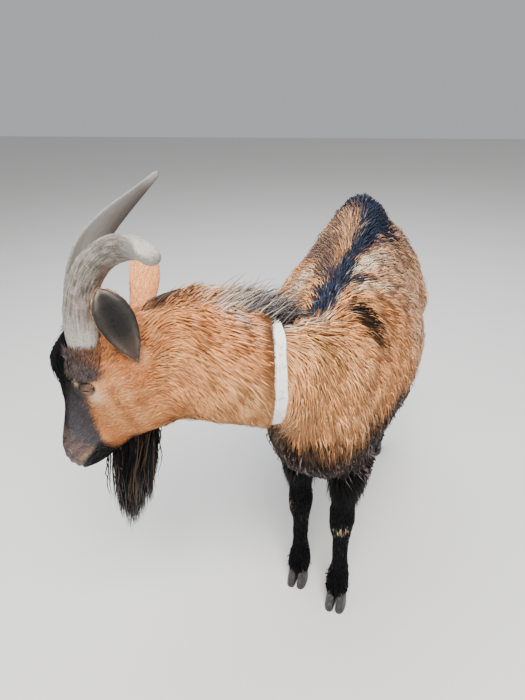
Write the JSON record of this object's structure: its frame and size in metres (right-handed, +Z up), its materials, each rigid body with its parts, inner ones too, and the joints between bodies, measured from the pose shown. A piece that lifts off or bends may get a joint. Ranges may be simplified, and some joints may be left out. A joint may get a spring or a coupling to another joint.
{
  "type": "alpine goat still model",
  "caption": "Standing horned goat with its head turned to its right, bearded, with a plain collar, as a still life-size model.",
  "frame": {"origin": "middle of the whole model's outline on the ground, between the feet and the turned head", "axes": "the trunk faces -Y, the animal's left side is +X, +Z is up"},
  "size_m": [0.6705, 1.3106, 1.112],
  "materials": {
    "coat_tan": "orange-brown hair",
    "coat_black": "black hair",
    "horn": "grey-brown ringed horn",
    "hoof": "dark grey horn",
    "eye": "wet and glossy",
    "collar": "weathered pale strap"
  },
  "bodies": {
    "root": {"torso": "coat_tan", "neck": "coat_tan", "head": "coat_tan", "ear_left": "coat_tan", "ear_right": "coat_tan", "tail": "coat_black", "leg_fore_left": "coat_black", "leg_fore_right": "coat_black", "leg_hind_left": "coat_black", "leg_hind_right": "coat_black", "hoof_fore_left": "hoof", "hoof_fore_right": "hoof", "hoof_hind_left": "hoof", "hoof_hind_right": "hoof", "horn_left": "horn", "horn_right": "horn", "eye_left": "eye", "eye_right": "eye", "collar": "collar"}
  },
  "joints": []
}
